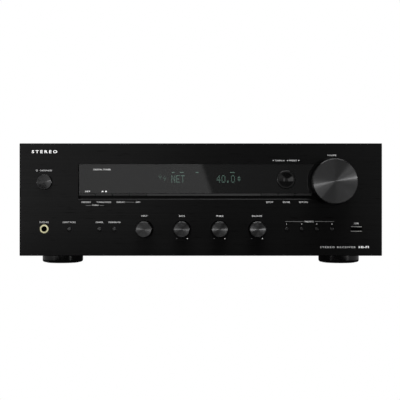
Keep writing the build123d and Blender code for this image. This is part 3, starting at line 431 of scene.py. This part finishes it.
paint(smoked_window(), "display_window")
paint(frame_plastic(), "front_frame")
paint(moulded("black_plastic", grey(0.012), 0.5), "cursor_pivot", *AERIALS)
paint(moulded("slim_button_plastic", grey(0.034), 0.5, specular=0.1), *SLIM)
paint(moulded("button_plastic", grey(0.010), 0.25, 500.0, 0.03), *MODE, *PRESETS)
paint(moulded("gloss_black", grey(0.006), 0.07, 300.0, 0.01), "cursor_pad")
paint(moulded("display_glass", grey(0.022), 0.5), "display_module")
PAINT = moulded("painted_steel", grey(0.016), 0.5, 1400.0, 0.5)
paint(PAINT, "top_cover", "rear_panel", "bottom_chassis")
paint(moulded("foot_plastic", grey(0.003), 0.09, 700.0, 0.0), "feet")
paint(moulded("foot_felt", grey(0.03), 0.95, 1800.0, 0.8), "foot_pads")
paint(moulded("terminal_plastic", grey(0.012), 0.35), "speaker_terminal_block", "mains_inlet")
paint(moulded("package_plastic", grey(0.02), 0.45), "output_transistors")
paint(gold_jack(), "phones_jack")
paint(usb_metal(), "usb_socket")
paint(plated("gold_plate", (0.86, 0.74, 0.46), 0.22), "speaker_posts")
paint(plated("nickel_plate", (0.62, 0.61, 0.59), 0.22), "rca_jacks", "rear_sockets", "phones_nut")
paint(plated("zinc_screw", (0.07, 0.07, 0.075), 0.35), "screws")
paint(plated("control_can", (0.5, 0.5, 0.48), 0.4), "rotary_controls")
paint(plated("sink_aluminium", (0.12, 0.12, 0.125), 0.5), "heat_sink")
paint(circuit_board(), "control_board", "main_board")
paint(laminated_steel(), "transformer_core")
paint(moulded("winding_tape", (0.5, 0.36, 0.06), 0.45, 300.0), "transformer_winding")
paint(moulded("capacitor_sleeve", (0.012, 0.014, 0.04), 0.3), "filter_capacitors")
RED_GRIP = moulded("red_grip", (0.32, 0.012, 0.012), 0.22, 300.0, 0.03)
BLACK_GRIP = moulded("black_grip", grey(0.012), 0.22, 300.0, 0.03)
CAP_COLUMNS = sorted({round(middle(name).x, 4) for name in CAPS})
for cap in CAPS:
    is_red = CAP_COLUMNS.index(round(middle(cap).x, 4)) % 2 == 0
    paint(RED_GRIP if is_red else BLACK_GRIP, cap)

# each ink's last number is the strength of its painted glow
INK = printed("legend_ink", (0.60, 0.60, 0.60), 0.55)
BRIGHT_INK = printed("bright_ink", (0.85, 0.85, 0.85), 0.7)
DIM_INK = printed("dim_ink", (0.30, 0.30, 0.30), 0.12)
RING_WHITE = printed("ring_white", (0.70, 0.70, 0.68), 0.02)
RING_RED = printed("ring_red", (0.50, 0.02, 0.02), 0.02)
PHOSPHOR = glowing("display_phosphor", (0.40, 0.70, 0.57), 7.5)


# ---------------------------------------------------------------- printed legends
INK_DEPTH = 0.03 * MM
CAP_SHARE = 0.70  # cap height over font size in the built-in font


def finish_piece(name, mesh, material, body="chassis"):
    """Turns a mesh into a piece that rides on a body."""
    mesh.materials.clear()
    mesh.materials.append(material)
    piece = bpy.data.objects.new(name, mesh)
    SCENE.collection.objects.link(piece)
    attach(piece, body)
    return piece


class Print:
    """Collects flat marks on one plane and joins them into one thin mesh."""

    def __init__(self, facing_back=False):
        self.mesh = bmesh.new()
        self.back = facing_back

    def point(self, x, z, depth):
        """A point on the printed plane; depth is measured outwards from the surface."""
        y = REAR_Y + depth if self.back else FACE_Y - depth
        return Vector((x, y, z))

    def word(self, text, x, z, cap, width=None, thick=0.0, spacing=1.0):
        """One word, centred at x, z, with its cap height and, where given, its width."""
        curve = bpy.data.curves.new("word", "FONT")
        curve.body = text
        curve.size = cap / CAP_SHARE
        curve.align_x = "CENTER"
        curve.resolution_u = 2
        curve.offset = thick
        curve.space_character = spacing
        curve.extrude = INK_DEPTH / 2
        holder = bpy.data.objects.new("word", curve)
        SCENE.collection.objects.link(holder)
        bpy.context.view_layer.update()
        graph = bpy.context.evaluated_depsgraph_get()
        flat = bpy.data.meshes.new_from_object(holder.evaluated_get(graph))
        xs = [v.co.x for v in flat.vertices]
        natural = max(xs) - min(xs)
        centre = (max(xs) + min(xs)) / 2
        squeeze = 1.0 if width is None else width / natural
        side = -1.0 if self.back else 1.0
        for vertex in flat.vertices:
            local = vertex.co.copy()
            across = side * (local.x - centre) * squeeze
            vertex.co = self.point(x + across, z + local.y - cap / 2, INK_DEPTH / 2 + local.z)
        self.mesh.from_mesh(flat)
        bpy.data.objects.remove(holder)
        bpy.data.meshes.remove(flat)

    def plate(self, corners):
        """A flat polygon, given by its x, z corners, as a thin closed solid."""
        front = [self.mesh.verts.new(self.point(x, z, INK_DEPTH)) for x, z in corners]
        back = [self.mesh.verts.new(self.point(x, z, 0)) for x, z in corners]
        self.mesh.faces.new(front)
        self.mesh.faces.new(back[::-1])
        for index in range(len(corners)):
            after = (index + 1) % len(corners)
            self.mesh.faces.new([front[index], back[index], back[after], front[after]])

    def bar(self, left, right, z, height):
        low, high = z - height / 2, z + height / 2
        self.plate([(left, low), (right, low), (right, high), (left, high)])

    def triangle(self, x, z, size, heading):
        """A small arrowhead pointing along heading, in degrees from +X."""
        corners = []
        for step in (0, 130, 230):
            angle = math.radians(heading + step)
            corners.append((x + size * math.cos(angle), z + size * math.sin(angle)))
        self.plate(corners)

    def arc(self, x, z, radius, line, start, end, steps=20):
        """Part of a ring from start to end, in degrees."""
        for step in range(steps):
            first = math.radians(start + (end - start) * step / steps)
            second = math.radians(start + (end - start) * (step + 1) / steps)
            inner, outer = radius - line / 2, radius + line / 2
            self.plate(
                [
                    (x + inner * math.cos(first), z + inner * math.sin(first)),
                    (x + outer * math.cos(first), z + outer * math.sin(first)),
                    (x + outer * math.cos(second), z + outer * math.sin(second)),
                    (x + inner * math.cos(second), z + inner * math.sin(second)),
                ]
            )

    def move_back(self, distance):
        """Moves every mark backwards from the panel's face, to another plane."""
        for vertex in self.mesh.verts:
            vertex.co.y += distance

    def done(self, name, material, slot="legend_ink"):
        bmesh.ops.recalc_face_normals(self.mesh, faces=self.mesh.faces)
        mesh = bpy.data.meshes.new(name)
        self.mesh.to_mesh(mesh)
        self.mesh.free()
        return finish_piece(name, mesh, material)


PHONO_BODY_WIDTH = 12.0 * MM
PHONO_BODY_HEIGHT = 14.0 * MM
PHONO_COLUMNS = 5
RING_RADIUS = 5.4 * MM
RING_WIDTH = 1.6 * MM
SMALL_CAP = 1.75 * MM
LINE = 0.3 * MM


# word, the control it names, its shift from that control and its width, in millimetres
KNOB_WORDS = (
    ("INPUT", "input_knob", 0.0, 7.4),
    ("BASS", "bass_knob", 0.0, 7.0),
    ("TREBLE", "treble_knob", 0.0, 9.0),
    ("BALANCE", "balance_knob", 0.0, 12.0),
)
SLIM_WORDS = (
    ("MEMORY", "memory_button", -0.9, 11.2),
    ("TUNING MODE", "tuning_button", -0.3, 17.3),
    ("DISPLAY", "display_button", -0.4, 9.6),
    ("DIM", "dimmer_button", 0.0, 4.8),
    ("SETUP", "setup_button", 0.0, 8.4),
    ("ENTER", "enter_button", 0.0, 8.6),
    ("RETURN", "return_button", 0.0, 10.4),
)
LOWER_WORDS = (
    ("PHONES", "phones_jack", 0.0, 10.8),
    ("DIRECT MODE", "pure_mode_button", 0.0, 15.4),
    ("DIMMER", "dimming_button", 0.0, 8.6),
    ("SPEAKERS A/B", "speakers_button", 0.0, 14.6),
)
# heights above the panel's lower edge
KNOB_ROW = up(47.8)
SLIM_ROW = up(64.4)
CLEAR_ROW = up(60.8)
LOWER_ROW = up(40.3)
PRESET_ROW = up(41.1)
CURSOR_ROW = up(114.4)
RANGE_ROW = up(20.7)  # minus and plus marks below the tone knobs
POWER_ROW = up(102.4)
PRESET_GAP = 6.6 * MM  # from the middle of PRESETS to its line


def label_row(ink, words, height):
    """A row of words, each over the control it names."""
    for text, control, shift, width in words:
        ink.word(text, middle(control).x + shift * MM, height, SMALL_CAP, width * MM)


def white_legends(preset_mid):
    """Function names beside each control, and the plain title at the lower right."""
    ink = Print()
    label_row(ink, KNOB_WORDS, KNOB_ROW)
    ink.word("VOLUME", middle("volume_knob").x, up(120.7), SMALL_CAP, 10.6 * MM)
    label_row(ink, SLIM_WORDS, SLIM_ROW)
    ink.word("CLEAR", -126.4 * MM, CLEAR_ROW, SMALL_CAP * 0.85, 8.0 * MM)
    label_row(ink, LOWER_WORDS, LOWER_ROW)
    ink.word("USB", middle("usb_socket").x, up(38.9), SMALL_CAP, 5.6 * MM)
    ink.word("PRESETS", preset_mid, PRESET_ROW, SMALL_CAP * 0.9, 10.6 * MM)
    for index, name in enumerate(PRESETS):
        ink.word(str(index + 1), middle(name).x, up(38.3), SMALL_CAP)
    ink.word("STEREO RECEIVER", 164.5 * MM, up(10.4), 2.0 * MM, 42.4 * MM, spacing=1.4)
    # power legend with its symbol
    ink.word("ON/STANDBY", -185.7 * MM, POWER_ROW, SMALL_CAP, 15.0 * MM)
    ink.arc(-196.8 * MM, up(102.3), 0.9 * MM, LINE, 120, 420)
    ink.bar(-196.95 * MM, -196.65 * MM, up(103.0), 1.1 * MM)
    # cursor legend over the window
    ink.word("TUNING", 93.4 * MM, CURSOR_ROW, SMALL_CAP, 9.4 * MM)
    ink.word("PRESET", 110.9 * MM, CURSOR_ROW, SMALL_CAP, 9.4 * MM)
    for x, heading in ((87.0, -90), (99.8, 90), (104.2, 180), (117.6, 0)):
        ink.triangle(x * MM, CURSOR_ROW, 0.95 * MM, heading)
    ink.done("legends", INK)


def bright_legends():
    """The largest words, and a plus mark below each tone knob."""
    bright = Print()
    bright.word("STEREO", -187.5 * MM, up(125.0), 3.4 * MM, 30.6 * MM, thick=0.09 * MM, spacing=1.5)
    bright.word("HI-FI", 195.6 * MM, up(10.5), 2.5 * MM, 12.0 * MM, thick=0.05 * MM)
    for knob in TONE_KNOBS:
        x = middle(knob).x
        bright.bar(x + 5.9 * MM, x + 6.9 * MM, RANGE_ROW, 0.35 * MM)
        bright.bar(x + 6.22 * MM, x + 6.58 * MM, RANGE_ROW, 1.0 * MM)
    bright.done("bright_legends", BRIGHT_INK)


def dim_legends(first, preset_mid, last):
    """Thin lines that tie words together, and a minus mark below each tone knob."""
    dim = Print()
    dim.bar(-91.0 * MM, -79.8 * MM, SLIM_ROW, LINE)
    for left, right in ((-138.0, -132.0), (-121.0, -116.2)):
        dim.bar(left * MM, right * MM, up(60.4), LINE)
    dim.bar(first - 2 * MM, preset_mid - PRESET_GAP, PRESET_ROW, LINE)
    dim.bar(preset_mid + PRESET_GAP, last + 2.6 * MM, PRESET_ROW, LINE)
    for knob in TONE_KNOBS:
        x = middle(knob).x
        dim.bar(x - 7.0 * MM, x - 5.8 * MM, RANGE_ROW, 0.4 * MM)
    dim.done("dim_legends", DIM_INK)


def front_legends():
    first, last = middle(PRESETS[0]).x, middle(PRESETS[-1]).x
    preset_mid = (first + last) / 2
    white_legends(preset_mid)
    bright_legends()
    dim_legends(first, preset_mid, last)


def phono_columns():
    """Middles of the columns of phono sockets."""
    low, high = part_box("rca_jacks")
    first = low.x + PHONO_BODY_WIDTH / 2
    pitch = (high.x - low.x - PHONO_BODY_WIDTH) / (PHONO_COLUMNS - 1)
    return [first + column * pitch for column in range(PHONO_COLUMNS)]


def rear_legends():
    """Plain connector names on the rear panel."""
    ink = Print(facing_back=True)
    cap = 2.2 * MM
    block_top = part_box("speaker_terminal_block")[1].z
    for text, x in (("SPEAKERS B", -34.0), ("SPEAKERS A", -112.0)):
        ink.word(text, x * MM, block_top + 4.2 * MM, cap, 20 * MM)
    inlet = middle("mains_inlet")
    ink.word("AC IN", inlet.x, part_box("mains_inlet")[1].z + 4 * MM, cap)
    jacks_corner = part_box("rca_jacks")[1]
    names = ("LINE OUT", "IN 4", "IN 3", "IN 2", "IN 1")
    for text, x in zip(names, phono_columns()):
        ink.word(text, x, jacks_corner.z + 2.6 * MM, 1.9 * MM)
    for text, z in (("L", up(56.0)), ("R", up(38.0))):
        ink.word(text, jacks_corner.x + 5 * MM, z, cap)
    sockets_z = middle("rear_sockets").z
    for text, x in (("NETWORK", 76.0), ("OPTICAL IN", 122.0), ("AERIAL", 165.0)):
        ink.word(text, x * MM, sockets_z + 11.5 * MM, 1.9 * MM)
    ink.done("rear_legends", INK)


def socket_rings():
    """Coloured rings round the phono sockets: white above, red below."""
    jacks_low, jacks_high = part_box("rca_jacks")
    upper, lower = jacks_high.z - PHONO_BODY_HEIGHT / 2, jacks_low.z + PHONO_BODY_HEIGHT / 2
    for name, material, z in (("left_rings", RING_WHITE, upper), ("right_rings", RING_RED, lower)):
        rings = Print(facing_back=True)
        for x in phono_columns():
            rings.arc(x, z, RING_RADIUS, RING_WIDTH, 0, 360, 32)
        rings.done(name, material, "socket_collars")


front_legends()
rear_legends()
socket_rings()


# ---------------------------------------------------------------- window print and display
def window_print():
    """Small fixed words on the window's face."""
    window_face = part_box("display_window")[0].y
    ink = Print()
    ink.word("DIGITAL TUNER", -118.4 * MM, up(103.6), 1.7 * MM, 20.6 * MM, thick=0.04 * MM)
    bright = Print()
    bright.word("SET", -135.6 * MM, up(77.3), 1.6 * MM, 6.6 * MM)
    bright.word("A  B", -116.0 * MM, up(77.3), 1.6 * MM, 6.6 * MM, thick=0.1 * MM)
    for part, name, material in ((ink, "window_words", INK), (bright, "window_marks", BRIGHT_INK)):
        part.move_back(window_face - FACE_Y)
        part.done(name, material)


GLYPHS = {
    "N": ("10001", "11001", "10101", "10101", "10011", "10001", "10001"),
    "E": ("11111", "10000", "10000", "11110", "10000", "10000", "11111"),
    "T": ("11111", "00100", "00100", "00100", "00100", "00100", "00100"),
    "4": ("00010", "00110", "01010", "10010", "11111", "00010", "00010"),
    "0": ("01110", "10001", "10001", "10001", "10001", "10001", "01110"),
    ".": ("00000", "00000", "00000", "00000", "00000", "01100", "01100"),
    "^": ("00100", "01110", "11111", "00000", "11111", "01110", "00100"),
    "~": ("00100", "00000", "10001", "01110", "00000", "00100", "00000"),
}
DOT_PITCH_X = 0.93 * MM
DOT_PITCH_Z = 1.28 * MM
DOT_WIDTH = 0.62 * MM
DOT_HEIGHT = 0.88 * MM
CHARACTER_PITCH = 5.75 * MM
DOT_CLEARANCE = 0.12 * MM  # from the tube's face


def display_dots():
    """Lit dots of the display's characters, thin solids in front of the display tube."""
    tube_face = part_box("display_module")[0].y
    dots = Print()

    def character(symbol, left, top, scale=1.0):
        for row, line in enumerate(GLYPHS[symbol]):
            for column, lit in enumerate(line):
                if lit == "1":
                    x = left + column * DOT_PITCH_X * scale
                    z = top - row * DOT_PITCH_Z * scale
                    dots.bar(x, x + DOT_WIDTH * scale, z, DOT_HEIGHT * scale)

    top = up(96.2)
    for index, symbol in enumerate("NET"):
        character(symbol, -35.3 * MM + index * CHARACTER_PITCH, top)
    for index, symbol in enumerate("40.0"):
        character(symbol, 19.4 * MM + index * CHARACTER_PITCH, top)
    character("^", 44.6 * MM, up(95.4), 0.72)
    character("~", -50.6 * MM, up(97.6), 0.8)
    character("~", -45.2 * MM, up(95.6), 0.8)
    for left, right in ((-35.0, -31.6), (-25.4, -20.6), (-6.0, -2.8), (35.4, 40.8)):
        dots.bar(left * MM, right * MM, up(100.2), 0.7 * MM)
    dots.move_back(tube_face - DOT_CLEARANCE - FACE_Y)
    dots.done("display_dots", PHOSPHOR, "display_phosphor")


window_print()
display_dots()


# ---------------------------------------------------------------- stage and lights
def sight_only(tree, seen, lit):
    """Colour seen directly by the camera, and another that lights the object."""
    path = tree.nodes.new("ShaderNodeLightPath")
    mix = tree.nodes.new("ShaderNodeMix")
    mix.data_type = "RGBA"
    if isinstance(lit, tuple):
        mix.inputs[6].default_value = (*lit, 1)
    else:
        tree.links.new(lit, mix.inputs[6])
    mix.inputs[7].default_value = (*seen, 1)
    tree.links.new(path.outputs["Is Camera Ray"], mix.inputs[0])
    return mix.outputs[2]


def graded(tree, value, low, high, start, end, interpolation="SMOOTHSTEP"):
    """A value that goes from start at low to end at high."""
    node = tree.nodes.new("ShaderNodeMapRange")
    node.interpolation_type = interpolation
    node.inputs["From Min"].default_value = low
    node.inputs["From Max"].default_value = high
    node.inputs["To Min"].default_value = start
    node.inputs["To Max"].default_value = end
    tree.links.new(value, node.inputs["Value"])
    return node.outputs["Result"]


def combined(tree, operation, first, second):
    """One Math node; second is a number or another node's output."""
    node = tree.nodes.new("ShaderNodeMath")
    node.operation = operation
    tree.links.new(first, node.inputs[0])
    if isinstance(second, (int, float)):
        node.inputs[1].default_value = second
    else:
        tree.links.new(second, node.inputs[1])
    return node.outputs[0]


FLOOR_DARK = 0.02  # near the object
FLOOR_LEFT = 1.0  # in front, on the left
FLOOR_ENDS = 0.32  # beyond both ends
FLOOR_FRONT = (FACE_Y - 0.30, FACE_Y - 0.14)  # the light in front fades between these
FLOOR_LEFT_FADE = (-0.12, -0.02)
FLOOR_LEFT_END = (-0.26, -0.20)
FLOOR_RIGHT_END = (0.20, 0.26)


def floor_light(tree):
    """Light from the floor: dim near the object, bright in front on the left, pale beyond both ends."""
    place = tree.nodes.new("ShaderNodeTexCoord")
    split = tree.nodes.new("ShaderNodeSeparateXYZ")
    tree.links.new(place.outputs["Object"], split.inputs[0])
    x, y = split.outputs["X"], split.outputs["Y"]
    in_front = graded(tree, y, *FLOOR_FRONT, 1, 0)
    left = combined(tree, "MULTIPLY", graded(tree, x, *FLOOR_LEFT_FADE, FLOOR_LEFT, 0), in_front)
    beside = combined(tree, "ADD", graded(tree, x, *FLOOR_LEFT_END, FLOOR_ENDS, FLOOR_DARK), left)
    return combined(tree, "ADD", beside, graded(tree, x, *FLOOR_RIGHT_END, 0, FLOOR_ENDS))


WHITE = (1, 1, 1)
WORLD_GREY = (0.16, 0.16, 0.16)

world = bpy.data.worlds.new("studio")
world.use_nodes = True
SCENE.world = world
background = world.node_tree.nodes["Background"]
world_colour = sight_only(world.node_tree, WHITE, WORLD_GREY)
world.node_tree.links.new(world_colour, background.inputs["Color"])

FLOOR_SIZE = 8.0
floor_mesh = bpy.data.meshes.new("floor")
half = FLOOR_SIZE / 2
floor_corners = [(-half, -half, 0), (half, -half, 0), (half, half, 0), (-half, half, 0)]
floor_mesh.from_pydata(floor_corners, [], [(0, 1, 2, 3)])
floor_material = bpy.data.materials.new("floor")
floor_material.use_nodes = True
floor_tree = floor_material.node_tree
floor_tree.nodes.remove(floor_tree.nodes["Principled BSDF"])
floor_glow = floor_tree.nodes.new("ShaderNodeEmission")
floor_colour = sight_only(floor_tree, WHITE, floor_light(floor_tree))
floor_tree.links.new(floor_colour, floor_glow.inputs["Color"])
floor_tree.links.new(floor_glow.outputs[0], floor_tree.nodes["Material Output"].inputs["Surface"])
floor_mesh.materials.append(floor_material)
floor = bpy.data.objects.new("floor", floor_mesh)
SCENE.collection.objects.link(floor)


def area_light(name, place, target, width, height, power):
    """Soft rectangular light that the camera doesn't see."""
    data = bpy.data.lights.new(name, "AREA")
    data.shape = "RECTANGLE"
    data.size = width
    data.size_y = height
    data.energy = power
    light = bpy.data.objects.new(name, data)
    light.location = place
    heading = Vector(target) - Vector(place)
    light.rotation_euler = heading.to_track_quat("-Z", "Y").to_euler()
    light.visible_camera = False
    SCENE.collection.objects.link(light)
    return light


AIM = (0, FACE_Y, PANEL_MID.z)
area_light("right_strip", (1.15, FACE_Y - 1.0, 0.05), AIM, 0.25, 0.05, 5.4)
area_light("left_strip", (-1.15, FACE_Y - 1.0, 0.05), AIM, 0.25, 0.05, 2.2)
area_light("overhead", (0, FACE_Y - 0.35, 1.3), (0, 0, 0.1), 1.4, 0.7, 16.0)
area_light("rear_fill", (0.4, 1.6, 0.9), (0, REAR_Y, 0.07), 1.2, 0.8, 14.0)

CARD_Y = FACE_Y - 1.5
CARD_REACH = 1.7
CARD_TOP = 1.2
CARD_GLOW = 1.0
CARD_DIM = 0.27  # right of the bright card's edge
CARD_DIM_FAR = 0.20
WALL_LEFT = 1.3  # bright wall at the far left
WALL_RIGHT = 1.0
EDGE_X = 0.0647  # where the bright card's right edge meets the floor
EDGE_LEAN = 0.342  # how far the edge leans left for its height
EDGE_SOFT = 0.008
DIM_FADE = (0.03, 0.30)  # the dim card goes from CARD_DIM to CARD_DIM_FAR between these
LOW_BAND = (0.24, 0.42)  # the card fades out between these heights
LEFT_WALL_FADE = (-0.85, -0.55)
RIGHT_WALL_START = (0.30, 0.45)
RIGHT_WALL_END = (0.50, 0.60)


def reflected_card():
    """Studio wall in front: a bright card with a soft leaning edge, dim beyond it, and pale far ends."""
    mesh = bpy.data.meshes.new("reflected_card")
    ends = (-CARD_REACH, CARD_REACH)
    corners = [(x, CARD_Y, z) for z in (0, CARD_TOP) for x in ends]
    mesh.from_pydata(corners, [], [(0, 1, 3, 2)])
    material = bpy.data.materials.new("reflected_card")
    material.use_nodes = True
    tree = material.node_tree
    tree.nodes.remove(tree.nodes["Principled BSDF"])
    place = tree.nodes.new("ShaderNodeTexCoord")
    split = tree.nodes.new("ShaderNodeSeparateXYZ")
    tree.links.new(place.outputs["Object"], split.inputs[0])
    x, z = split.outputs["X"], split.outputs["Z"]
    lean = combined(tree, "ADD", x, combined(tree, "MULTIPLY", z, EDGE_LEAN))
    bright = graded(tree, lean, EDGE_X - EDGE_SOFT, EDGE_X + EDGE_SOFT, CARD_GLOW - CARD_DIM, 0)
    dim = graded(tree, x, *DIM_FADE, CARD_DIM, CARD_DIM_FAR, "LINEAR")
    low_band = graded(tree, z, *LOW_BAND, 1, 0)
    window_light = combined(tree, "MULTIPLY", combined(tree, "ADD", bright, dim), low_band)
    left_wall = graded(tree, x, *LEFT_WALL_FADE, WALL_LEFT, 0)
    right_end = graded(tree, x, *RIGHT_WALL_END, 1, 0)
    right_glow = combined(tree, "MULTIPLY", graded(tree, x, *RIGHT_WALL_START, 0, WALL_RIGHT), right_end)
    right_wall = combined(tree, "MULTIPLY", right_glow, low_band)
    walls = combined(tree, "ADD", left_wall, right_wall)
    glow = tree.nodes.new("ShaderNodeEmission")
    tree.links.new(combined(tree, "ADD", window_light, walls), glow.inputs["Strength"])
    tree.links.new(glow.outputs[0], tree.nodes["Material Output"].inputs["Surface"])
    mesh.materials.append(material)
    card = bpy.data.objects.new("reflected_card", mesh)
    card.visible_camera = False
    SCENE.collection.objects.link(card)


reflected_card()
